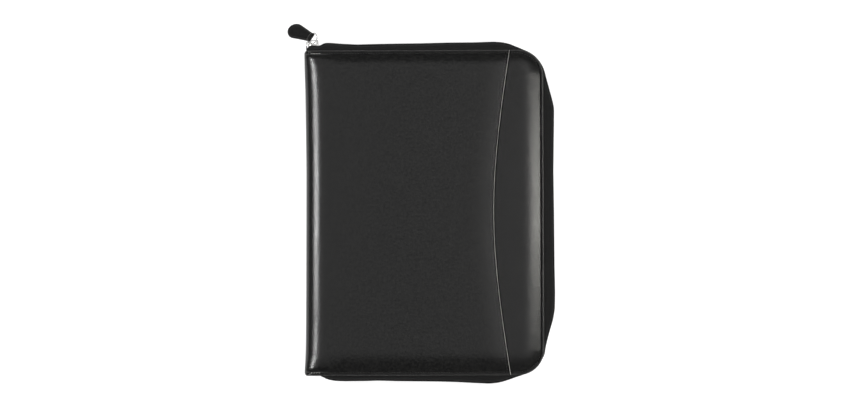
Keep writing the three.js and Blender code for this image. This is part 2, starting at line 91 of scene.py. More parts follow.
# Thickness and lift of the dark strip outside the pocket's mouth, a painted shadow.
SHADE_STRIP_T, SHADE_STRIP_LIFT = 0.2, 0.04
HIDDEN_FROM, HIDDEN_RUN, HIDDEN_DROP = 14.0, 10.0, 0.25

# Zip
TAPE = 1.0
TAPE_SEAM = 7.0
TAPE_TURN, TURN_POWER = 3.0, 0.92
ZIP_BULGE = 10.8
CHAIN_W = 5.4
CHAIN_T = 2.2
PITCH = 1.5
CORE_T = 1.1
COIL_OUT, COIL_UP = 0.35, 0.75
ZIP_STEP = 2.2
END_PROUD, FORE_PROUD = 0.16, 0.07
SLIDER_L = 11.7
SLIDER_INSET = 9.0
BLADE_T = 1.2
BAIL_L = 8.4
BAIL_SHIFT = 1.3
BAIL_H = 4.4
BAIL_WALL = 1.1
BAIL_EYE = 5.2
BAIL_HANG = 0.27

# Pull
LOOP_R, LOOP_ROUND, LOOP_WIRE = 6.4, 1.0, 0.9
FOLD_W, FOLD_LEATHER = 9.6, 0.8
TAB_L, TAB_W, TAB_T = 30.0, 17.0, 2.0
TAB_HEADING, TAB_PITCH, TAB_ROLL = 156.5, 29, 21
LOOP_LEAN = -40
STITCH_AT = 0.93

HALF_IN = INSIDE / 2
HALF_EDGE = HALF_IN + BOARD + GAP + LEATHER
MID_Z = HALF_EDGE + PAD + POCKET_PAD
LEFT, RIGHT = -COVER_W / 2, COVER_W / 2
HEAD, TAIL = COVER_H / 2, -COVER_H / 2
SPINE_X = LEFT + SPINE_REACH
TAPE_END = CHAIN_W / 2 + GAP

# How far in the spine is drawn, from tail to head: (share of the height, share of SPINE_BOW).
SPINE_DRAW = [
    (0, 0), (0.015, 0), (0.04, 0.25), (0.08, 0.46), (0.14, 0.58), (0.26, 0.73), (0.5, 0.92),
    (0.63, 1), (0.75, 0.87), (0.88, 0.68), (0.93, 0.45), (1, 0.35),
]
# How far out the zip lies beside each stretch of edge: (share of the stretch, share of ZIP_BULGE).
HEAD_RUN = [
    (0.075, 0.44), (0.094, 0.62), (0.125, 0.61), (0.18, 0.53), (0.25, 0.47), (0.32, 0.5), (0.43, 0.53),
    (0.55, 0.55), (0.68, 0.6), (0.8, 0.61), (0.888, 0.66), (0.932, 0.61), (0.965, 0.48), (1, 0.22),
]
FORE_RUN = [
    (0, 0.2), (0.03, 0.4), (0.06, 0.59), (0.09, 0.79), (0.118, 0.93), (0.16, 0.92), (0.35, 0.85),
    (0.5, 0.89), (0.7, 0.92), (0.79, 0.96), (0.855, 0.93), (0.895, 0.76), (0.93, 0.5), (0.965, 0.27),
    (1, 0.07),
]
TAIL_RUN = [
    (0.052, -0.16), (0.07, 0.03), (0.09, 0.19), (0.117, 0.35), (0.145, 0.42), (0.18, 0.44),
    (0.286, 0.43), (0.342, 0.4), (0.43, 0.45), (0.62, 0.49), (0.71, 0.54), (0.79, 0.62),
    (0.865, 0.68), (0.906, 0.61), (0.934, 0.49), (0.965, 0.31), (1, 0.09),
]
HEAD_CORNER_RUN = [
    (0.125, 0.07), (0.25, 0.04), (0.375, 0.03), (0.5, 0.03), (0.625, 0.04), (0.75, 0.08), (0.875, 0.13),
]
TAIL_CORNER_RUN = [
    (0.125, 0.06), (0.25, -0.02), (0.375, -0.07), (0.5, -0.09), (0.625, -0.09), (0.75, -0.07),
    (0.875, -0.01),
]


def smoothed(table, blur):
    """A function that follows a table of (place, value) rows without its kinks."""
    places, values = np.array(table, float).T
    span = places[-1] - places[0]
    grid = np.linspace(places[0] - span, places[-1] + span, 6001)
    raw = np.interp(grid, places, values)
    width = max(1, int(blur / (grid[1] - grid[0])))
    offsets = np.arange(-3 * width, 3 * width + 1)
    kernel = np.exp(-0.5 * (offsets / width) ** 2)
    soft = np.convolve(np.pad(raw, 3 * width, mode="edge"), kernel / kernel.sum(), mode="valid")
    return lambda at: np.interp(at, grid, soft)


def ripple(x, y, height, size, seed):
    """A soft, repeatable unevenness: a few waves of different headings."""
    local = np.random.default_rng(seed)
    total = np.zeros(np.broadcast(x, y).shape)
    for _ in range(7):
        angle, phase = local.uniform(0, 2 * math.pi, 2)
        step = local.uniform(0.6, 1.8) * size
        total = total + np.sin((np.cos(angle) * x + np.sin(angle) * y) * 2 * math.pi / step + phase)
    return height * (total / 4)


# Materials


class Surface:
    """A Principled material, and the textures, ramps and bumps that feed it."""

    def __init__(self, name, color, rough, metallic=0.0, gloss=0.5):
        self.material = bpy.data.materials.new(name)
        self.material.use_nodes = True
        tree = self.material.node_tree
        self.nodes, self.link = tree.nodes, tree.links.new
        self.inputs = tree.nodes["Principled BSDF"].inputs
        self.inputs["Base Color"].default_value = (*color, 1)
        self.inputs["Roughness"].default_value = rough
        self.inputs["Metallic"].default_value = metallic
        self.inputs["Specular IOR Level"].default_value = gloss
        self.coords = self.nodes.new("ShaderNodeTexCoord").outputs["Object"]

    def node(self, kind, output, values, **sources):
        """One output of a new node whose inputs get these values and sources."""
        node = self.nodes.new("ShaderNode" + kind)
        for name, value in values.items():
            node.inputs[name].default_value = value
        for name, source in sources.items():
            self.link(source, node.inputs[name])
        return node.outputs[output]

    def noise(self, scale, detail=3.0, rough=0.55):
        values = {"Scale": scale, "Detail": detail, "Roughness": rough}
        return self.node("TexNoise", "Fac", values, Vector=self.coords)

    def ramp(self, factor, low, high, start=0.3, end=0.7):
        color = self.node("ValToRGB", "Color", {}, Fac=factor)
        stops = color.node.color_ramp.elements
        for stop, place, value in zip(stops, (start, end), (low, high)):
            stop.position, stop.color = place, (*value, 1)
        return color

    def spread(self, factor, low, high):
        values = {"From Min": 0.25, "From Max": 0.75, "To Min": low, "To Max": high}
        return self.node("MapRange", "Result", values, Value=factor)

    def bump(self, height, strength, distance, below=None):
        sources = {"Height": height}
        if below is not None:
            sources["Normal"] = below
        return self.node("Bump", "Normal", {"Strength": strength, "Distance": distance}, **sources)

    def feed(self, name, source):
        self.link(source, self.inputs[name])


def leather(name, dark, light, rough, grain=1.0, pebble=1.0, gloss=0.5):
    """Smooth leather: fine pores, a soft pebble, slight blotches and a polish that varies."""
    skin = Surface(name, dark, rough, gloss=gloss)
    skin.feed("Base Color", skin.ramp(skin.noise(430, 2, 0.6), dark, light, 0.38, 0.62))
    skin.feed("Roughness", skin.spread(skin.noise(60, 4), rough - 0.02, rough + 0.03))
    pores = skin.node("TexVoronoi", "Distance", {"Scale": 900}, Vector=skin.coords)
    pores.node.feature = "DISTANCE_TO_EDGE"
    soft = skin.node("MapRange", "Result", {"From Max": 0.25}, Value=pores)
    first = skin.bump(soft, 0.22 * grain, 0.00006)
    skin.feed("Normal", skin.bump(skin.noise(760, 1, 0.5), 0.7 * pebble, 0.00017, first))
    return skin.material


def edge_leather(name, dark, light, gloss=0.5):
    """A cut or turned edge, where the leather is rubbed; the same maker also gives the leather's painted
    shade and painted highlight.
    """
    cut = Surface(name, light, 0.6, gloss=gloss)
    cut.feed("Base Color", cut.ramp(cut.noise(420, 4, 0.7), dark, light, 0.3, 0.6))
    cut.feed("Normal", cut.bump(cut.noise(2200), 0.5, 0.0001))
    return cut.material


def woven(name, dark, light, rough, pitch, gloss=0.3, sheen=0.04):
    """A tape woven in fine ribs."""
    cloth = Surface(name, dark, rough, gloss=gloss)
    cloth.feed("Base Color", cloth.ramp(cloth.noise(700, 4, 0.7), dark, light))
    ribs = {"Scale": 0.31 / pitch, "Distortion": 1.2, "Detail": 2, "Detail Scale": 3}
    normal = None
    for direction in ("X", "Y", "Z"):
        wave = cloth.node("TexWave", "Fac", ribs, Vector=cloth.coords)
        wave.node.bands_direction = direction
        normal = cloth.bump(wave, 0.4, 0.00012, normal)
    cloth.feed("Normal", cloth.bump(cloth.noise(3200), 0.35, 0.0001, normal))
    cloth.inputs["Sheen Weight"].default_value = sheen
    cloth.inputs["Sheen Roughness"].default_value = 0.5
    return cloth.material


def thread(name, dark, light):
    """Twisted yarn, also the nylon of the coils."""
    yarn = Surface(name, dark, 0.5)
    yarn.feed("Base Color", yarn.ramp(yarn.noise(900), dark, light))
    yarn.feed("Normal", yarn.bump(yarn.noise(4200), 0.5, 0.0001))
    yarn.inputs["Sheen Weight"].default_value = 0.15
    return yarn.material


def plated(name, color, rough):
    """Bright metal, slightly uneven from plating and handling."""
    plate = Surface(name, color, rough, 1.0)
    plate.feed("Roughness", plate.spread(plate.noise(800, 4, 0.6), rough - 0.06, rough + 0.1))
    plate.feed("Normal", plate.bump(plate.noise(500), 0.12, 0.0001))
    return plate.material


COVER = leather("cover_leather", (0.0015, 0.0015, 0.0016), (0.0135, 0.0134, 0.0128), 0.215)
TAB = leather("tab_leather", (0.0042, 0.0042, 0.0044), (0.0085, 0.0085, 0.0087), 0.5, 1.2, 1.2, 0.3)
EDGE = edge_leather("leather_edge", (0.3, 0.295, 0.283), (0.55, 0.54, 0.52))
RIM = edge_leather("leather_rim", (0.018, 0.018, 0.018), (0.036, 0.035, 0.034))
# Dark matte leather: painted shade behind the pocket's mouth, in the fore seam's channel and on the strip
# outside the mouth.
PAINTED_SHADE = edge_leather("leather_painted_shade", (0.0015, 0.0015, 0.0015), (0.005, 0.005, 0.005), 0.08)
# Lighter rubbed leather on the covers' outer edges, made light enough to be a painted highlight of the
# light their round-over catches.
RUBBED_HIGHLIGHT = edge_leather("leather_rubbed_highlight", (0.035, 0.0345, 0.034), (0.075, 0.074, 0.072))
FACING = woven("inside_facing", (0.006, 0.006, 0.0062), (0.012, 0.012, 0.0122), 0.85, 0.0011)
# Near-black tape: painted shade on the tapes' faces turned away from the covers' faces.
TAPE_SHADE = woven(
    "zip_tape_shade", (0.0015, 0.0015, 0.0015), (0.004, 0.004, 0.004), 0.9, 0.0008, 0.05, 0
)
WEAVE = woven("zip_tape_weave", (0.007, 0.007, 0.0072), (0.0135, 0.0135, 0.0137), 0.8, 0.0008)
COIL = thread("coil_nylon", (0.006, 0.006, 0.0062), (0.012, 0.012, 0.0122))
STITCH = thread("stitch_thread", (0.014, 0.014, 0.0142), (0.04, 0.039, 0.038))
# Darker thread: painted shade on the stitches down in the fore seam's channel.
STITCH_SHADED = thread("stitch_thread_shaded", (0.004, 0.004, 0.0041), (0.009, 0.009, 0.009))
# Bright thread: painted glints on the stitches at the spine's ends, and pale thread brightened as a
# painted glint on the tab's band.
STITCH_GLINT = thread("stitch_thread_glint", (0.3, 0.3, 0.29), (0.6, 0.6, 0.58))
NICKEL = plated("nickel_plate", (0.78, 0.775, 0.76), 0.2)


# Mesh helpers


def finish_mesh(name, verts, faces, materials, slots=None):
    """A linked, smooth object from points in millimetres, with its faces turned outwards."""
    mesh = bpy.data.meshes.new(name)
    mesh.from_pydata([tuple(np.asarray(v) * MM) for v in verts], [], faces)
    for material in materials:
        mesh.materials.append(material)
    if slots is not None:
        mesh.polygons.foreach_set("material_index", slots)
    mesh.shade_smooth()
    mesh.update()
    work = bmesh.new()
    work.from_mesh(mesh)
    bmesh.ops.remove_doubles(work, verts=work.verts, dist=1e-7)
    bmesh.ops.recalc_face_normals(work, faces=work.faces)
    work.to_mesh(mesh)
    work.free()
    return linked(name, mesh)


def tube_faces(rings, sides):
    """Quads that join each ring of points to the next."""
    turn = [(j, (j + 1) % sides) for j in range(sides)]
    starts = [(i * sides, (i + 1) * sides) for i in range(rings - 1)]
    return [(a + j, a + k, b + k, b + j) for a, b in starts for j, k in turn]


def shell(name, outer, inner, materials, edge_slot, inner_slot):
    """A closed sheet between two grids of points of one layout.

    Its edges and its inner face have material slots of their own.
    """
    rows, columns = outer.shape[:2]
    verts = np.concatenate([outer.reshape(-1, 3), inner.reshape(-1, 3)])
    index = np.arange(rows * columns).reshape(rows, columns)
    faces, slots = [], []

    def quads(a, b, c, d, slot):
        block = np.stack([a.ravel(), b.ravel(), c.ravel(), d.ravel()], 1)
        faces.extend(map(tuple, block.tolist()))
        slots.extend([slot] * len(block))

    quads(index[:-1, :-1], index[1:, :-1], index[1:, 1:], index[:-1, 1:], 0)
    under = index + rows * columns
    quads(under[:-1, :-1], under[:-1, 1:], under[1:, 1:], under[1:, :-1], inner_slot)
    rim = np.concatenate([index[0, :], index[1:, -1], index[-1, -2::-1], index[-2:0:-1, 0]])
    after = np.roll(rim, -1)
    quads(rim, after, after + rows * columns, rim + rows * columns, edge_slot)
    return finish_mesh(name, verts, faces, materials, slots)


def arc_points(cx, cy, radius, start, end, count):
    return [(cx + radius * math.cos(a), cy + radius * math.sin(a)) for a in np.linspace(start, end, count)]


def slot_of(piece, material):
    return piece.data.materials.find(material.name)


def on_root(piece, *nodes, slot=None):
    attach(piece, "root")
    if nodes:
        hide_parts(*nodes)
    return piece


def cleaned_copy(node, material, finish=None):
    """A copy of a plain solid's mesh with its flat faces whole again; finish works on it last."""
    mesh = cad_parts[node].data.copy()
    mesh.materials.clear()
    mesh.materials.append(material)
    work = bmesh.new()
    work.from_mesh(mesh)
    bmesh.ops.remove_doubles(work, verts=work.verts, dist=2e-6)
    bmesh.ops.dissolve_limit(
        work, angle_limit=math.radians(2), verts=work.verts, edges=work.edges, delimit=set()
    )
    if finish:
        finish(work)
    work.to_mesh(mesh)
    work.free()
    mesh.shade_smooth()
    return mesh


def linked(name, mesh):
    piece = bpy.data.objects.new(name, mesh)
    bpy.context.scene.collection.objects.link(piece)
    return piece


# Shape of the covers

spine_draw = smoothed(SPINE_DRAW, 0.012)


def end_inset(y):
    return np.minimum(HEAD - y, y - TAIL)


def spine_reach(y):
    from_end = end_inset(y)
    rounding = SPINE_CORNER * (1 - np.minimum(np.maximum(from_end, 0) / SEAM, 1)) ** 2
    return SPINE_REACH - SPINE_BOW * spine_draw((y - TAIL) / COVER_H) - rounding


# Bend of the wrap from the spine's flat side over to the cover: (tilt in degrees, radius).
BENDS = [(0, 30), (8, 27), (16, 25), (27, 25), (34, 17), (45, 11.5), (60, 9.5), (90, 9)]

# Share of the full bend: (distance from the nearer end, share).
BEND_SHARE = [(0, 0.42), (3.2, 0.52), (10, 0.74), (20, 0.94), (32, 0.98), (50, 1), (75, 1)]


def bend_curve(count=30):
    """Points of the bend, from the spine's side inwards: distance in, drop from the top."""
    tilts = np.linspace(math.pi / 2, 0, 721)
    radii = np.interp(np.degrees(tilts), *np.array(BENDS, float).T)
    step = tilts[0] - tilts[1]
    across = np.concatenate([[0], np.cumsum((radii * np.cos(tilts))[1:] * step)])
    down = np.concatenate([np.cumsum((radii * np.sin(tilts))[::-1][1:] * step)[::-1], [0]])
    along = np.concatenate([[0], np.cumsum(radii[1:] * step)])
    places = along[-1] * np.linspace(0, 1, count) ** 1.15
    return np.interp(places, along, across), np.interp(places, along, down)


BEND_IN, BEND_DROP = bend_curve()


def bend_size(y):
    """Share of the full bend at a height y: the boards' ends hold the spine squarer."""
    from_end = np.maximum(end_inset(y), 0)
    return np.interp(from_end, *np.array(BEND_SHARE, float).T)


def spine_left(y):
    """The spine's outermost line: the leather stands a little proud of its boards."""
    return SPINE_X - spine_reach(y) - SPINE_PROUD


def rise(inset, run):
    """Height share of the padding at a distance in from a cover's edge."""
    share = np.clip((inset - SEAM) / (run - SEAM), 0, 1)
    return 1 - (1 - share) ** PAD_POWER


def rounding(inset, radius):
    """What a rounded edge takes off the surface near it."""
    near = np.clip(radius - inset, 0, radius)
    return radius - np.sqrt(np.maximum(radius**2 - near**2, 0))


def seam_relief(inset):
    """What the rounded edge, the pull of the stitches and the pressed strip outside them take off."""
    groove = GROOVE_DEPTH * np.exp(-(((inset - GROOVE) / GROOVE_W) ** 2))
    strip = EDGE_FALL * np.clip(1 - inset / SEAM, 0, 1) ** 1.5
    return rounding(inset, EDGE_ROUND) + groove + strip


def end_rise(y):
    """The same at a height y, in from the head and the tail."""
    return np.minimum(rise(HEAD - y, RUN_HEAD), rise(y - TAIL, RUN_TAIL))


def spine_rise(y):
    """The same on the spine's turn, which stays full almost to its ends."""
    full = np.minimum(rise(HEAD - y, RUN_SPINE), rise(y - TAIL, RUN_SPINE))
    return SPINE_FULL * full + (1 - SPINE_FULL) * end_rise(y)


def wrap_share(x, y):
    """Padding share over the pocket: full to the ends beside the spine, rolled off further in."""
    inward = np.clip((x - bend_end(y)) / SPINE_SOFT, 0, 1)
    soft = inward * inward * (3 - 2 * inward)
    return spine_rise(y) * (1 - soft) + end_rise(y) * soft


# Distances in from a sewn edge at which the covers have points: close together at the stitches.
NEAR = np.array(
    [0, 0.08, 0.2, 0.35, 0.5, 0.8, 1.2, 1.6, 2, 2.3, 2.55, 2.75, 2.9, 3.05, 3.2, 3.35, 3.5, 3.65, 3.85,
     4.1, 4.5, 5, 5.7, 6.5, 7.5, 8.7, 10, 11.5, 13, 14.7, 16.5, 18.5, 20.5, 22.7, 25, 27.5]
)
# The same from the pocket's mouth inwards.
MOUTH_NEAR = np.array(
    [0, 0.08, 0.18, 0.32, 0.48, 0.65, 0.85, 1.1, 1.35, 1.6, 2, 2.4, 2.9, 3.2, 3.5, 4, 4.8, 6, 8, 10.5,
     13.5, 17, 21]
)


def edge_rows():
    """Rows from tail to head, close together where the covers are sewn and rounded off."""
    middle = np.linspace(TAIL + NEAR[-1], HEAD - NEAR[-1], 66)[1:-1]
    return np.concatenate([TAIL + NEAR, middle, (HEAD - NEAR)[::-1]])


def fore_x(y):
    """The covers' fore edge at a height y, round the corners."""
    over = np.maximum(np.abs(y) - (HEAD - CORNER), 0)
    return RIGHT - CORNER + np.sqrt(np.maximum(CORNER**2 - over**2, 0))


def fore_inset(x, y):
    """Distance in from the covers' outline, counting the fore edge and its corners alone."""
    over_x = x - (RIGHT - CORNER)
    over_y = np.abs(y) - (HEAD - CORNER)
    round_corner = CORNER - np.hypot(np.maximum(over_x, 0), np.maximum(over_y, 0))
    return np.where((over_x > 0) | (over_y > 0), round_corner, RIGHT - x)


def cover_height(x, y):
    """Padding share of a cover with all three sewn edges, and the distance in from them."""
    over_x = x - (RIGHT - CORNER)
    over_y = np.abs(y) - (HEAD - CORNER)
    in_corner = (over_x > 0) & (over_y > 0)
    from_corner = CORNER - np.hypot(over_x, over_y)
    run_end = np.where(y > 0, RUN_HEAD, RUN_TAIL)
    angle = np.arctan2(np.maximum(over_y, 1e-9), np.maximum(over_x, 1e-9)) / (math.pi / 2)
    run_corner = RUN_FORE + (run_end - RUN_FORE) * angle
    fore, ends = rise(RIGHT - x, RUN_FORE), end_rise(y)
    soft = np.clip(1 - np.sqrt((1 - fore) ** 2 + (1 - ends) ** 2), 0, 1)
    straight = np.minimum(fore, ends) * 0.5 + soft * 0.5
    share = np.where(in_corner, rise(from_corner, run_corner), straight)
    inset_straight = np.minimum(RIGHT - x, end_inset(y))
    return share, np.where(in_corner, from_corner, inset_straight)


def own_share(from_mouth):
    """Share of the pocket's own padding at a distance in from its mouth."""
    return 1 - (1 - np.clip(from_mouth / MOUTH_TAPER, 0, 1)) ** TAPER_POWER


def front_height(x, y):
    """Height of the front cover's surface."""
    share, inset = cover_height(x, y)
    return MID_Z + HALF_IN + BOARD + PAD * share - seam_relief(inset)


MOUTH_BEND_FULL = math.sqrt(1 + MOUTH_BEND**2) - 1


def mouth_x(y):
    bend = np.sqrt(1 + (MOUTH_BEND * y / HEAD) ** 2) - 1
    return LEFT + MOUTH_REACH - MOUTH_SAG * (1 - bend / MOUTH_BEND_FULL)


ROWS = edge_rows()
SIDE_STEPS = 6


def turn_points(y, half):
    """The outside of the spine's turn, from under the back round to over the front."""
    size = bend_size(y)[:, None]
    left = spine_left(y)[:, None]
    x_top = left + BEND_IN[None, :] * size
    z_top = half[:, None] - BEND_DROP[None, :] * size
    side = z_top[:, :1] * np.linspace(-1, 1, SIDE_STEPS)[None, 1:-1]
    bulge = SIDE_BULGE * (1 - (side / z_top[:, :1]) ** 2)
    x = np.concatenate([x_top[:, ::-1], left - bulge, x_top], 1)
    z = np.concatenate([-z_top[:, ::-1], side, z_top], 1)
    return np.stack([x, np.broadcast_to(y[:, None], x.shape), MID_Z + z], 2)


def inner_turn_points(y, columns):
    """The inside of the spine's turn."""
    angle = np.linspace(-math.pi / 2, math.pi / 2, columns)[None, :]
    across = np.abs(np.cos(angle)) ** (2 / SPINE_INNER_POWER)
    up = np.sign(angle) * np.abs(np.sin(angle)) ** (2 / SPINE_INNER_POWER)
    x = SPINE_X - (spine_reach(y)[:, None] - SPINE_WALL) * across
    z = np.broadcast_to(MID_Z + HALF_IN * up, x.shape)
    return np.stack([x, np.broadcast_to(y[:, None], x.shape), z], 2)


def bend_end(y):
    """Where the bend runs out and the cover begins."""
    return spine_left(y) + BEND_IN[-1] * bend_size(y)


def make_wrap():
    y = ROWS
    inset = end_inset(y)
    share = end_rise(y)
    relief = seam_relief(inset)
    full = PAD + POCKET_PAD
    turn = turn_points(y, HALF_EDGE + full * spine_rise(y) - relief)
    begin = bend_end(y)[:, None]

    # Over the front: from the spine to the pocket's mouth.
    mouth = mouth_x(y)[:, None]
    far = np.linspace(0, 1, 34)[1:]
    plain = begin + (mouth - MOUTH_NEAR[-1] - begin) * far[None, :]
    x = np.concatenate([plain, mouth - MOUTH_NEAR[None, ::-1][:, 1:]], 1)
    yy = np.broadcast_to(y[:, None], x.shape)
    from_mouth = mouth - x
    own = own_share(from_mouth)
    z = MID_Z + HALF_EDGE + (PAD + POCKET_PAD * own) * wrap_share(x, yy)
    z = z - np.maximum(relief[:, None], rounding(from_mouth, MOUTH_ROUND))
    z += ripple(x, yy, *WRAP_RIPPLE) * share[:, None] * own * np.clip((x - begin) / 30, 0, 1)
    front = np.stack([x, yy, z], 2)

    # Under the back: from the spine to the fore edge.
    edge = fore_x(y)[:, None]
    far = np.linspace(0, 1, 40)[1:]
    plain = begin + (edge - NEAR[-1] - begin) * far[None, :]
    x = np.concatenate([plain, edge - NEAR[None, ::-1][:, 1:]], 1)
    yy = np.broadcast_to(y[:, None], x.shape)
    back_share, back_inset = cover_height(x, yy)
    towards = np.clip((x - begin) / SPINE_BLEND, 0, 1)
    back_share = back_share * towards + spine_rise(yy) * (1 - towards)
    z = np.maximum(MID_Z - HALF_EDGE - full * back_share + seam_relief(back_inset), 0)
    back = np.stack([x, yy, z], 2)

    outer = np.concatenate([back[:, ::-1], turn, front], 1)
    inner_back, inner_front = back.copy(), front.copy()
    for layer in (inner_back, inner_front):
        layer[..., 0] = np.maximum(layer[..., 0], SPINE_X + (layer[..., 0] - begin) * INNER_SQUEEZE)
    inner_back[..., 2] = MID_Z - HALF_IN
    inner_front[..., 2] = (MID_Z + HALF_IN + BOARD + PAD * share + GAP)[:, None]
    inner_turn = inner_turn_points(y, turn.shape[1])
    inner = np.concatenate([inner_back[:, ::-1], inner_turn, inner_front], 1)
    piece = shell("case_wrap", outer, inner, [COVER, RIM, FACING, EDGE, RUBBED_HIGHLIGHT, PAINTED_SHADE], 1, 2)
    paint_wrap(piece)
    return on_root(piece, "leather_wrap", slot="cover_leather")


def paint_wrap(piece):
    """A light cut edge along the pocket's mouth, painted shade in the crease behind it, and rubbed ends
    lightened as a painted highlight.
    """
    edge, rubbed, crease = (slot_of(piece, material) for material in (EDGE, RUBBED_HIGHLIGHT, PAINTED_SHADE))
    for face in piece.data.polygons:
        centre = face.center / MM
        on_front = centre.z > MID_Z + HALF_IN
        if on_front and centre.x > mouth_x(centre.y) - MOUTH_ROUND:
            face.material_index = edge
        # Painted shade on the strip just behind the mouth's edge.
        elif on_front and centre.x > mouth_x(centre.y) - PAINTED_SHADE_END:
            face.material_index = crease
        # Rubbed ends, lightened as a painted highlight.
        elif face.material_index == 0 and HEAD - abs(centre.y) < RUB:
            face.material_index = rubbed


def paint_front(piece):
    """Rubbed outer edges lightened as a painted highlight, and painted shade in the channel where the fore
    seam is sewn.
    """
    rubbed, channel = slot_of(piece, RUBBED_HIGHLIGHT), slot_of(piece, PAINTED_SHADE)
    for face in piece.data.polygons:
        centre = face.center / MM
        if centre.z < MID_Z + HALF_IN + PAINT_FROM:
            continue
        inset = fore_inset(centre.x, centre.y)
        # Rubbed outer edges, lightened as a painted highlight.
        if min(inset, HEAD - abs(centre.y)) < RUB:
            face.material_index = rubbed
        # Painted shade down in the fore seam's channel.
        elif CHANNEL_FROM < inset < CHANNEL_TO and abs(centre.y) < HEAD - CORNER / 2:
            face.material_index = channel


def around(inset, start):
    """A line round the three sewn edges at an inset, from the tail to the head."""
    radius = max(CORNER - inset, min(4.0, HEAD - inset))
    cx, cy = RIGHT - inset - radius, HEAD - inset - radius
    run = np.linspace(start, cx, 70)
    arc = np.linspace(0, math.pi / 2, 22)[1:]
    back = arc - arc[0]
    side = np.linspace(-cy, cy, 90)[1:-1]
    level = np.full_like(run, HEAD - inset)
    x = [run, cx + radius * np.sin(arc), np.full_like(side, RIGHT - inset), cx + radius * np.cos(back)]
    y = [np.full_like(run, TAIL + inset), -cy - radius * np.cos(arc), side, cy + radius * np.sin(back)]
    return np.concatenate([*x, run[::-1]]), np.concatenate([*y, level])


def make_front():
    start = SPINE_X + GAP
    insets = np.concatenate([NEAR, np.linspace(NEAR[-1], HEAD, 22)[1:]])
    lines = [around(inset, start) for inset in insets]
    x, y = np.array([line[0] for line in lines]), np.array([line[1] for line in lines])
    share, inset = cover_height(x, y)
    over_spine = np.clip((x - start) / SPINE_BLEND, 0, 1)
    share = share * over_spine + end_rise(y) * (1 - over_spine)
    z = MID_Z + HALF_IN + BOARD + PAD * share - seam_relief(inset)
    hidden = np.clip((mouth_x(y) - HIDDEN_FROM - x) / HIDDEN_RUN, 0, 1)
    z += ripple(x, y, *FRONT_RIPPLE) * share * (1 - hidden)
    z -= HIDDEN_DROP * hidden
    outer = np.stack([x, y, z], 2)
    inner = outer.copy()
    inner[..., 2] = MID_Z + HALF_IN
    piece = shell("case_front", outer, inner, [COVER, RIM, FACING, RUBBED_HIGHLIGHT, PAINTED_SHADE], 1, 2)
    paint_front(piece)
    return on_root(piece, "front_cover", slot="cover_leather")


def make_mouth_shade_strip():
    """A dark strip laid on the front cover just outside the pocket's mouth: a painted shadow of the
    mouth's edge.
    """
    y = ROWS[(ROWS > TAIL + 1) & (ROWS < HEAD - 1)]
    out, thick = np.array([(-1.6, 1), (-0.4, 1), (0.3, 1), (0.7, 1), (0.95, 0.8), (1.1, 0.2)]).T
    x = mouth_x(y)[:, None] + out[None, :]
    yy = np.broadcast_to(y[:, None], x.shape)
    ground = front_height(x, yy) + SHADE_STRIP_LIFT
    outer = np.stack([x, yy, ground + SHADE_STRIP_T * thick[None, :]], 2)
    inner = np.stack([x, yy, ground], 2)
    return on_root(shell("mouth_shade_strip", outer, inner, [PAINTED_SHADE], 0, 0), slot="cover_leather")


# Zip path: places along the covers' edge, from the spine round to the spine again


def chain_out(out):
    return ZIP_BULGE * out - TAPE / 2


SLIDER_X = LEFT + SLIDER_INSET
SLIDER_OUT = chain_out(HEAD_RUN[0][1])
ACROSS = COVER_W - CORNER
TAPE_START = SPINE_X - 0.8 * (float(spine_reach(np.array(HEAD))) - SPINE_WALL)
QUARTER = CORNER * math.pi / 2
SIDE = COVER_H - 2 * CORNER


def zip_table():
    """(distance, bulge) along the whole run.

    The soft tapes swell a little further out than their plain solids do.
    """
    after_head = ACROSS + QUARTER
    after_fore = after_head + SIDE
    after_tail = after_fore + QUARTER
    stretches = [
        (0, ACROSS, HEAD_RUN, END_PROUD),
        (ACROSS, QUARTER, HEAD_CORNER_RUN, 0),
        (after_head, SIDE, FORE_RUN, FORE_PROUD),
        (after_fore, QUARTER, TAIL_CORNER_RUN, 0),
        (after_tail + ACROSS, -ACROSS, TAIL_RUN, END_PROUD),
    ]
    rows = [(TAPE_START - LEFT, SLIDER_OUT)]
    for start, length, table, proud in stretches:
        for share, out in table:
            beside_slider = table is HEAD_RUN and share < 0.09
            rows.append((start + share * length, chain_out(out * (1 + proud * (not beside_slider)))))
    return sorted(rows)


ZIP_ROWS = zip_table()
zip_bulge = smoothed(ZIP_ROWS, 2.2)
ZIP_START = ZIP_ROWS[0][0]
ZIP_END = ZIP_ROWS[-1][0]


def path_at(distance):
    """Places on the covers' outline and the way out from them, at distances along the zip."""
    distance = np.asarray(distance, float)
    stops = np.cumsum([ACROSS, QUARTER, SIDE, QUARTER])
    turned = np.clip(distance - stops[0], 0, QUARTER) + np.clip(distance - stops[2], 0, QUARTER)
    angle = math.pi / 2 - turned / CORNER
    out = np.stack([np.cos(angle), np.sin(angle)], -1)
    x = RIGHT - CORNER - np.maximum(stops[0] - distance, 0) - np.maximum(distance - stops[3], 0)
    y = HEAD - CORNER - np.clip(distance - stops[1], 0, SIDE)
    return x + CORNER * out[..., 0], y + CORNER * out[..., 1], out


def tape_half_height(x):
    """Half the height between the tapes' sewn edges, which narrows inside the spine's turn."""
    into = np.maximum(SPINE_X - x, 0)
    reach = float(spine_reach(np.array(HEAD))) - SPINE_WALL - GAP
    narrowing = np.maximum(1 - (into / reach) ** SPINE_INNER_POWER, 0)
    return (HALF_IN - GAP) * narrowing ** (1 / SPINE_INNER_POWER)


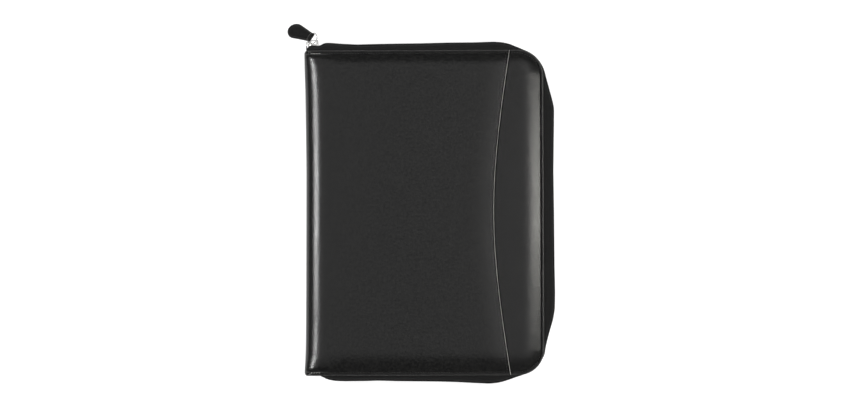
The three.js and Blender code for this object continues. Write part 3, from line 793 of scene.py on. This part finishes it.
def sweep(name, distances, profile, materials):
    """Sweeps a closed loop of (out, up) points along the zip.

    The profile takes x, the bulge and the distance.
    """
    x, y, out = path_at(distances)
    loops = [np.asarray(profile(*values)) for values in zip(x, zip_bulge(distances), distances)]
    count, last = len(loops[0]), len(loops) - 1
    verts = [
        (x[i] + p[0] * out[i, 0], y[i] + p[0] * out[i, 1], MID_Z + p[1])
        for i, loop in enumerate(loops)
        for p in loop
    ]
    faces = tube_faces(len(loops), count)
    faces += [tuple(range(count)), tuple(last * count + j for j in reversed(range(count)))]
    return finish_mesh(name, verts, faces, materials)


tape_wave = smoothed(list(zip(np.arange(0, 1000, 23.0), rng.normal(0, 0.16, 44))), 7)


def tape_profile(side):
    """Section of a tape: flat under the cover, then turned round towards the chain."""

    def profile(x, bulge, distance):
        half_height = float(tape_half_height(x))
        face = bulge + TAPE / 2
        leaves = min(0, face - TAPE_TURN)
        straight = min(TAPE_END + 0.6, half_height - TAPE - 0.2)
        wave = float(tape_wave(distance + (0 if side > 0 else 311))) * min(1, max(face, 0) / 4)

        def line(thickness):
            reach, drop = face - thickness - leaves, half_height - thickness - straight
            return [
                (
                    leaves + reach * math.sin(a) ** TURN_POWER + wave * math.sin(2 * a),
                    straight + drop * math.cos(a) ** TURN_POWER,
                )
                for a in np.linspace(0, math.pi / 2, 13)
            ]

        section = [
            (-TAPE_SEAM, half_height),
            (-TAPE_SEAM * 0.5, half_height),
            *line(0),
            (face, TAPE_END + 0.25),
            (face - 0.25, TAPE_END),
            (face - TAPE + 0.25, TAPE_END),
            (face - TAPE, TAPE_END + 0.25),
            *line(TAPE)[::-1],
            (-TAPE_SEAM * 0.5, half_height - TAPE),
            (-TAPE_SEAM, half_height - TAPE),
        ]
        return [(out, side * up) for out, up in section]

    return profile


def make_tapes():
    distances = np.arange(ZIP_START, ZIP_END, ZIP_STEP)
    for name, node, side in (("tape_front", "zip_tape_front", 1), ("tape_back", "zip_tape_back", -1)):
        piece = sweep(name, distances, tape_profile(side), [WEAVE, TAPE_SHADE])
        # Faces turned away from the front or back take the near-black tape: painted shade.
        for face in piece.data.polygons:
            if side * face.normal.z < 0.55:
                face.material_index = 1
        on_root(piece, node, slot="zip_tape")


def rounded_strip(width, thickness):
    """Section of a flat strip with round edges, on the chain's line."""
    half_w, half_t = width / 2, thickness / 2
    angles = np.linspace(-math.pi / 2, math.pi / 2, 7)
    side = [(half_t * math.sin(a), half_w - half_t + half_t * math.cos(a)) for a in angles]
    return side + [(-u, -v) for u, v in side]


CHAIN_START = SLIDER_X - 0.15 * SLIDER_L - LEFT
CHAIN_END = ZIP_END - 8.6


def lozenge(along, outward, length, width, thick, spin):
    """Points and faces of a small pebble, used for coil turns and stitches."""
    across = outward.cross(along)
    rings, sides = 5, 6
    verts = []
    for i in range(rings):
        t = i / (rings - 1)
        swell = math.sin(math.pi * (0.12 + 0.76 * t)) ** 0.55
        arch = math.sin(math.pi * t) * spin
        for j in range(sides):
            a = 2 * math.pi * j / sides
            verts.append(
                along * (t - 0.5) * length
                + across * (0.5 * width * swell * math.cos(a))
                + outward * (0.5 * thick * swell * math.sin(a) + arch)
            )
    ends = [tuple(reversed(range(sides))), tuple((rings - 1) * sides + j for j in range(sides))]
    return verts, tube_faces(rings, sides) + ends


def gather(name, pebbles, material):
    """One object from many pebbles."""
    verts, faces = [], []
    for centre, (points, local) in pebbles:
        base = len(verts)
        verts.extend(centre + p for p in points)
        faces.extend(tuple(base + k for k in face) for face in local)
    return finish_mesh(name, verts, faces, [material])


def make_chain():
    distances = np.arange(CHAIN_START, CHAIN_END, ZIP_STEP)
    strip = rounded_strip(CHAIN_W - 1.5, CORE_T)
    base = sweep("chain_core", distances, lambda x, bulge, d: [(bulge + u, v) for u, v in strip], [COIL])
    on_root(base, "zip_chain", slot="zip_coil")

    pebbles = []
    for side in (-1, 1):
        for at in np.arange(CHAIN_START + (1 + side) * PITCH / 4, CHAIN_END, PITCH):
            x, y, out = (v[0] for v in path_at([at]))
            outward = Vector((out[0], out[1], 0))
            up = Vector((0, 0, side))
            centre = Vector((x, y, MID_Z)) + outward * (float(zip_bulge(at)) + COIL_OUT) + up * COIL_UP
            pebbles.append((centre, lozenge(up, outward, 3.7, 1.05, 1.1, 0.15)))
    coils = gather("chain_coils", pebbles, COIL)
    on_root(coils, slot="zip_coil")


# Stitches


def pocket_height(x, y):
    """Height of the pocket's surface."""
    from_mouth = mouth_x(y) - x
    relief = np.maximum(seam_relief(end_inset(y)), rounding(from_mouth, MOUTH_ROUND))
    return MID_Z + HALF_EDGE + (PAD + POCKET_PAD * own_share(from_mouth)) * wrap_share(x, y) - relief


def row_of_stitches(points, heights, flip=1, length=2.05, thick=0.5, pitch=2.65, lean=0.1, sink=0.02):
    """Stitches one pitch apart along a line in plan; heights gives the surface there."""
    points = np.asarray(points, float)
    steps = np.hypot(*np.diff(points, axis=0).T)
    along = np.concatenate([[0], np.cumsum(steps)])
    count = int(along[-1] / pitch)
    made = []
    for k in range(count):
        at = (k + 0.5) * along[-1] / count
        ends = [np.array([np.interp(at + s, along, points[:, i]) for i in (0, 1)]) for s in (-0.4, 0.4)]
        middle = (ends[0] + ends[1]) / 2
        heading = ends[1] - ends[0]
        heading /= max(np.hypot(*heading), 1e-9)
        turn = lean + random.uniform(-0.05, 0.05)
        (cos, sin), (hx, hy) = (math.cos(turn), math.sin(turn)), heading
        heading = np.array([hx * cos - hy * sin, hx * sin + hy * cos])
        probe = [float(heights(*(middle + heading * s))) for s in (-0.8, 0.8)]
        slope = (probe[1] - probe[0]) / 1.6
        direction = Vector((heading[0], heading[1], slope)).normalized()
        up = Vector((0, 0, flip))
        outward = (up - direction * up.dot(direction)).normalized()
        centre = Vector((middle[0], middle[1], float(heights(*middle)))) - outward * sink
        size = length * random.uniform(0.93, 1.05)
        made.append((centre, lozenge(direction, outward, size, thick, thick * 0.8, 0.1)))
    return made


def inset_line(inset, start_x, step=1.2):
    """A line in plan that runs inside the three sewn edges, from the tail round to the head."""
    radius = CORNER - inset
    cx, cy = RIGHT - CORNER, HEAD - CORNER
    points = [(x, TAIL + inset) for x in np.arange(start_x, cx, step)]
    points += arc_points(cx, -cy, radius, -math.pi / 2, 0, 30)
    points += [(RIGHT - inset, y) for y in np.arange(-cy + step, cy, step)]
    points += arc_points(cx, cy, radius, 0, math.pi / 2, 30)
    points += [(x, HEAD - inset) for x in np.arange(cx - step, start_x, -step)]
    return points


def turn_height(x, y, side):
    """Height of the wrap's outside on the spine's turn, over the back (-1) or the front (1)."""
    size = bend_size(y)
    relief = seam_relief(end_inset(y))
    half = HALF_EDGE + (PAD + POCKET_PAD) * spine_rise(y) - relief
    return MID_Z + side * (half - size * np.interp((x - spine_left(y)) / size, BEND_IN, BEND_DROP))


def sewn_front(x, y):
    """Height of what the front seam is sewn through: the turn, the pocket or the front cover."""
    if x < bend_end(y):
        return turn_height(x, y, 1)
    return pocket_height(x, y) if x < mouth_x(y) - 1.0 else front_height(x, y)


def sewn_back(x, y):
    if x < bend_end(y):
        return turn_height(x, y, -1)
    share, inset = cover_height(x, y)
    towards = min(max((x - bend_end(y)) / SPINE_BLEND, 0), 1)
    share = share * towards + spine_rise(y) * (1 - towards)
    return MID_Z - HALF_EDGE - (PAD + POCKET_PAD) * share + seam_relief(inset)


def make_stitches():
    """Dull thread all round, with painted shade on the stitches down in the fore seam's channel and
    painted glints on the thicker stitches at the spine's ends.
    """
    line = inset_line(SEAM, LEFT + 5.2)
    front = row_of_stitches(line, sewn_front)
    fore_from = RIGHT - SEAM - 1
    beside = [stitch for stitch in front if stitch[0].x > fore_from]
    ends = [stitch for stitch in front[4:-4] if stitch[0].x <= fore_from]
    heavy = row_of_stitches(line, sewn_front, thick=0.85, length=2.2)
    back = row_of_stitches(line, sewn_back, flip=-1)
    ys = np.linspace(TAIL + SEAM + 1.6, HEAD - SEAM - 1.6, 200)
    by_mouth = [(float(mouth_x(v)) - SEAM, v) for v in ys]
    mouth = row_of_stitches(by_mouth, pocket_height, thick=0.4, sink=0.08)
    for name, stitches, material in (
        ("stitches_front", ends, STITCH),
        ("stitches_fore", beside, STITCH_SHADED),
        ("stitches_front_end_glints", heavy[:4] + heavy[-4:], STITCH_GLINT),
        ("stitches_back", back, STITCH),
        ("stitches_mouth", mouth, STITCH),
    ):
        on_root(gather(name, stitches, material), slot="cover_leather")


# Slider, loop and pull tab


def make_slider():
    piece = linked("slider_body", cleaned_copy("zip_slider", NICKEL))
    bevel = piece.modifiers.new("bevel", "BEVEL")
    bevel.width, bevel.segments = 0.00026, 3
    bevel.limit_method, bevel.angle_limit = "ANGLE", math.radians(32)
    return on_root(piece, "zip_slider", slot="nickel")


CHANNEL = CHAIN_T / 2 + GAP
BLADE_FACE = CHANNEL + BLADE_T
HANGS_AT = math.radians(27)
turn_tab = (
    Matrix.Rotation(math.radians(TAB_HEADING), 4, "Z")
    @ Matrix.Rotation(math.radians(TAB_PITCH), 4, "Y")
    @ Matrix.Rotation(math.radians(TAB_ROLL), 4, "X")
)
turn_loop = turn_tab @ Matrix.Rotation(math.radians(LOOP_LEAN), 4, "Y")
hangs_from = Vector(
    (
        SLIDER_X + BAIL_SHIFT - BAIL_L / 2 + BAIL_WALL + 0.52 * BAIL_EYE,
        HEAD + SLIDER_OUT + BLADE_FACE + BAIL_HANG * BAIL_H,
        MID_Z,
    )
)
pull_origin = hangs_from + turn_loop @ (
    Vector((-math.cos(HANGS_AT), math.sin(HANGS_AT), 0)) * -LOOP_R
)
place_loop = Matrix.Translation(pull_origin) @ turn_loop
place_tab = Matrix.Translation(pull_origin) @ turn_tab


def make_loop():
    straight = math.sqrt((LOOP_R - LOOP_ROUND) ** 2 - LOOP_ROUND**2)
    turn = math.pi / 2 + math.asin(LOOP_ROUND / (LOOP_R - LOOP_ROUND))
    line = arc_points(-LOOP_ROUND, straight, LOOP_ROUND, 0, turn, 9)
    line += arc_points(0, 0, LOOP_R, turn, 2 * math.pi - turn, 40)[:-1]
    line += arc_points(-LOOP_ROUND, -straight, LOOP_ROUND, -turn, 0, 9)
    line = [p for i, p in enumerate(line) if math.dist(p, line[i - 1]) > 1e-3]
    sides = 14
    verts = []
    for i, place in enumerate(line):
        ahead, behind = line[(i + 1) % len(line)], line[i - 1]
        along = Vector((ahead[0] - behind[0], ahead[1] - behind[1], 0)).normalized()
        across = Vector((along.y, -along.x, 0))
        for j in range(sides):
            a = 2 * math.pi * j / sides
            local = Vector((*place, 0)) + across * (LOOP_WIRE / 2 * math.cos(a))
            local.z += LOOP_WIRE / 2 * math.sin(a)
            verts.append(place_loop @ local)
    faces = [tuple(k % len(verts) for k in face) for face in tube_faces(len(line) + 1, sides)]
    return on_root(finish_mesh("loop_wire", verts, faces, [NICKEL]), "pull_loop", slot="nickel")


FOLD_OUT = LOOP_WIRE / 2 + GAP + FOLD_LEATHER
TAB_ROUND_X = TAB_L - FOLD_OUT - TAB_W / 2


def tab_outline(inset, count=72):
    """The tab's outline from the neck round the broad end and back, shrunk by an inset."""
    radius = TAB_W / 2 - inset
    neck = FOLD_W / 2 - inset
    neck_x = 0.35 * FOLD_OUT
    taper = math.asin((radius - neck) / (TAB_ROUND_X - neck_x))
    turn = math.pi / 2 + taper
    arc = arc_points(TAB_ROUND_X, 0, radius, -turn, turn, count)
    (ax, ay), (bx, by) = arc[0], arc[-1]
    steps = np.linspace(0, 1, 22)
    low = [(neck_x + (ax - neck_x) * t, -neck + (ay + neck) * t) for t in steps[:-1]]
    high = [(bx + (neck_x - bx) * t, by + (neck - by) * t) for t in steps[1:]]
    return low + arc + high


def tab_bow(x, y):
    """The tab's slight bow along and across."""
    return 0.5 * math.sin(math.pi * min(max(x / TAB_L, 0), 1)) - 0.012 * y * y


# The tab's rounded edge: (inset, share of half its thickness).
TAB_EDGE = [
    (0, 0.35), (0.12, 0.7), (0.4, 0.92), (0.8, 0.97), (1.3, 0.9), (1.9, 1.0), (2.7, 1.1), (4.0, 1.16),
]


def make_tab_leaf():
    half = TAB_T / 2
    loops = [[(x, y, half * share) for x, y in tab_outline(inset)] for inset, share in TAB_EDGE]
    rings = loops[::-1] + [[(x, y, -z) for x, y, z in loop] for loop in loops]
    count = len(rings[0])
    faces = tube_faces(len(rings), count)
    slots = np.repeat([int(abs(i - len(loops) + 1) < 2) for i in range(len(rings) - 1)], count)
    faces.append(tuple(reversed(range(count))))
    faces.append(tuple((len(rings) - 1) * count + j for j in range(count)))
    verts = [place_tab @ Vector((x, y, z + tab_bow(x, y))) for ring in rings for x, y, z in ring]
    leaf = finish_mesh("tab_leaf", verts, faces, [TAB, RIM], [*slots.tolist(), 0, 0])
    smoother = leaf.modifiers.new("subsurf", "SUBSURF")
    smoother.levels = smoother.render_levels = 1
    on_root(leaf, "pull_tab", slot="tab_leather")


def make_tab_fold():
    """The fold round the loop: a leather tube, open at both ends, that closes on the leaf."""
    inside = LOOP_WIRE / 2 + 0.18
    stations = np.linspace(-FOLD_W / 2, FOLD_W / 2, 15)
    ring = 24
    turn = [(j, (j + 1) % ring) for j in range(ring)]
    verts, faces = [], []
    for y in stations:
        squeeze = 0.12 * (abs(y) / (FOLD_W / 2)) ** 6
        for radius in (FOLD_OUT - squeeze, inside):
            for a in 2 * math.pi * np.arange(ring) / ring:
                verts.append(place_tab @ Vector((radius * math.cos(a), y, radius * math.sin(a))))

    last = 2 * len(stations) - 1
    pairs = [(layer, layer + 2) for layer in range(last - 1)] + [(0, 1), (last - 1, last)]
    for a, b in pairs:
        faces += [(a * ring + j, a * ring + k, b * ring + k, b * ring + j) for j, k in turn]
    on_root(finish_mesh("tab_fold", verts, faces, [TAB]), slot="tab_leather")


def tab_row(spans, side, length, thick):
    """Stitches on the tab's upper (1) or lower (-1) face, one on each span."""
    made = []
    turn = place_tab.to_3x3()
    for start, end in spans:
        x, y = (start[0] + end[0]) / 2, (start[1] + end[1]) / 2
        direction = Vector((end[0] - start[0], end[1] - start[1], 0)).normalized()
        centre = Vector((x, y, side * TAB_T / 2 * STITCH_AT + tab_bow(x, y)))
        pebble = lozenge(turn @ direction, turn @ Vector((0, 0, side)), length, thick, thick * 0.8, 0.08)
        made.append((place_tab @ centre, pebble))
    return made


def make_tab_stitches():
    """Stitches round the leaf, and a row across it beside the fold in pale thread brightened as a painted
    glint.
    """
    rim = np.array(tab_outline(1.35))
    along = np.concatenate([[0], np.cumsum(np.hypot(*np.diff(rim, axis=0).T))])
    places = np.arange(2.6, along[-1] - 2.4, 2.1)
    ends = [np.array([np.interp(places + d, along, rim[:, i]) for i in (0, 1)]).T for d in (-0.5, 0.5)]
    spans = list(zip(*ends))
    round_rim = tab_row(spans, 1, 1.6, 0.42) + tab_row(spans, -1, 1.6, 0.42)
    on_root(gather("tab_stitches", round_rim, STITCH), slot="tab_leather")
    beside = FOLD_OUT + 0.75
    band = [[(beside, y - 0.4), (beside, y + 0.4)] for y in np.linspace(-3.6, 3.6, 5)]
    on_root(gather("tab_band", tab_row(band, 1, 1.25, 0.45), STITCH_GLINT), slot="tab_leather")


# The turned tape end, in shares of its length: (share, y of its low edge) and (share, z of its top).
FLAP_LOW_Y = [(0, 171.3), (0.5, 171.1), (0.8, 170.4), (1, 168.9)]
FLAP_TOP_Z = [(0, 26.6), (0.4, 25.6), (1, 23.2)]
FLAP_X, FLAP_L, FLAP_Y = -110.6, 9.4, 166.25
FLAP_LOW_Z, FLAP_T = 22.2, 0.55


def make_end_flap():
    """The front tape's end, turned over beside the slider and tucked into the head of the spine."""
    along, across = np.linspace(0, 1, 22), np.linspace(0, 1, 14)
    u, v = np.meshgrid(along, across, indexing="ij")
    low_y = np.interp(u, *np.array(FLAP_LOW_Y).T)
    y = FLAP_Y + (low_y - FLAP_Y) * v + 0.12 * np.sin(u * 9 + v * 4)
    x = FLAP_X - (FLAP_L - 1.2 * v**2) * u
    top_z = np.interp(u, *np.array(FLAP_TOP_Z).T)
    z = top_z + (FLAP_LOW_Z - top_z) * v**1.4 + 0.15 * np.sin(u * 14 + v * 5) * (1 - u)
    z = np.maximum(z - 1.0 * np.clip((u - 0.9) / 0.1, 0, 1) ** 2, FLAP_LOW_Z - 0.1)
    outer = np.stack([x, y, z], 2)
    inner = outer - np.array([0, 0, FLAP_T])
    piece = shell("tape_end_flap", outer, inner, [WEAVE, WEAVE, WEAVE], 1, 2)
    on_root(piece, slot="zip_tape")


def make_zip_ends():
    """The folded tape ends: soft copies of their plain solids."""

    def soften(work):
        bmesh.ops.bevel(
            work, geom=work.edges[:], offset=0.0004, segments=3, affect="EDGES", clamp_overlap=True
        )
        bmesh.ops.triangulate(work, faces=work.faces)

    for node, name in (("zip_head_end", "tape_fold_head"), ("zip_tail_end", "tape_fold_tail")):
        on_root(linked(name, cleaned_copy(node, WEAVE, soften)), node, slot="zip_tape")


make_wrap()
make_front()
make_mouth_shade_strip()
make_tapes()
make_chain()
make_zip_ends()
make_end_flap()
make_stitches()
make_slider()
make_loop()
make_tab_leaf()
make_tab_fold()
make_tab_stitches()


# Stage


FLOOR_HALF = 40  # metres


def make_floor():
    mesh = bpy.data.meshes.new("floor")
    grid = bmesh.new()
    bmesh.ops.create_grid(grid, x_segments=4, y_segments=4, size=FLOOR_HALF)
    grid.to_mesh(mesh)
    grid.free()
    floor = linked("floor", mesh)
    floor.location.z = -0.0002
    white = Surface("floor_white", (0.35, 0.35, 0.35), 0.9)
    white.feed("Base Color", white.ramp(white.noise(3), (0.345, 0.345, 0.345), (0.355, 0.355, 0.355)))
    white.inputs["Emission Color"].default_value = (1, 1, 1, 1)
    white.inputs["Emission Strength"].default_value = 0.95
    mesh.materials.append(white.material)


def softbox(name, place, aim, size, power, tint):
    light = bpy.data.lights.new(name, "AREA")
    light.shape = "RECTANGLE"
    light.size, light.size_y = size
    light.energy = power
    light.color = tint
    lamp = linked(name, light)
    lamp.location = place
    lamp.rotation_mode = "QUATERNION"
    lamp.rotation_quaternion = (Vector(aim) - Vector(place)).to_track_quat("-Z", "Y")
    lamp.visible_camera = False


# Metres and watts. The narrow boxes draw the sheen on the spine and beside the fore edge.
LEFT_TILT, LEFT_FAR = math.radians(42.3), 1.6
WHITE, WARM = (1, 1, 1), (1, 0.99, 0.93)
LAMPS = [  # name, place, aim, size, power, tint
    (
        "softbox_left", (-LEFT_FAR * math.sin(LEFT_TILT), 0.03, LEFT_FAR * math.cos(LEFT_TILT)),
        (0, 0.02, 0), (0.12, 0.44), 8.5, WHITE,
    ),
    ("softbox_right", (0.614, 0.02, 0.846), (0.11, 0.01, 0.03), (0.07, 0.5), 2.6, WARM),
    ("softbox_above", (0, 3.0, 7.4), (0, 0, 0), (4.2, 8.0), 5, WHITE),
    ("fill_left", (-0.66, 0.15, 1.5), (-0.66, 0.15, 0), (1.2, 1.2), 2.4, WHITE),
    ("fill_right", (0.40, 0.15, 1.5), (0.40, 0.15, 0), (0.54, 1.2), 1.7, WHITE),
]

make_floor()
for lamp in LAMPS:
    softbox(*lamp)

world = bpy.data.worlds.new("studio")
world.use_nodes = True
background = world.node_tree.nodes["Background"]
background.inputs["Color"].default_value = (1, 1, 1, 1)
background.inputs["Strength"].default_value = 0.17
bpy.context.scene.world = world
bpy.context.scene.view_settings.view_transform = "Standard"

# Camera: straight above, as the photograph, at 1.02 mm a pixel. The object's origin is at CENTRE_PX.
IMAGE_W, IMAGE_H = 854, 410
CENTRE_PX = (424.2, 212.8)
MM_PER_PX = 1.02
ROLL = -0.22
LENS, SENSOR = 300.0, 36.0
FRONT_Z = 2 * MID_Z - 2
reach = IMAGE_W / 2 * MM_PER_PX / (SENSOR / 2 / LENS)
camera_data = bpy.data.cameras.new("camera")
camera_data.lens = LENS
camera_data.sensor_width = SENSOR
camera_data.clip_end = 100
camera = linked("camera", camera_data)
camera.location = (
    (IMAGE_W / 2 - CENTRE_PX[0]) * MM_PER_PX * MM,
    (CENTRE_PX[1] - IMAGE_H / 2) * MM_PER_PX * MM,
    (FRONT_Z + reach) * MM,
)
camera.rotation_euler = (0, 0, math.radians(ROLL))
bpy.context.scene.camera = camera
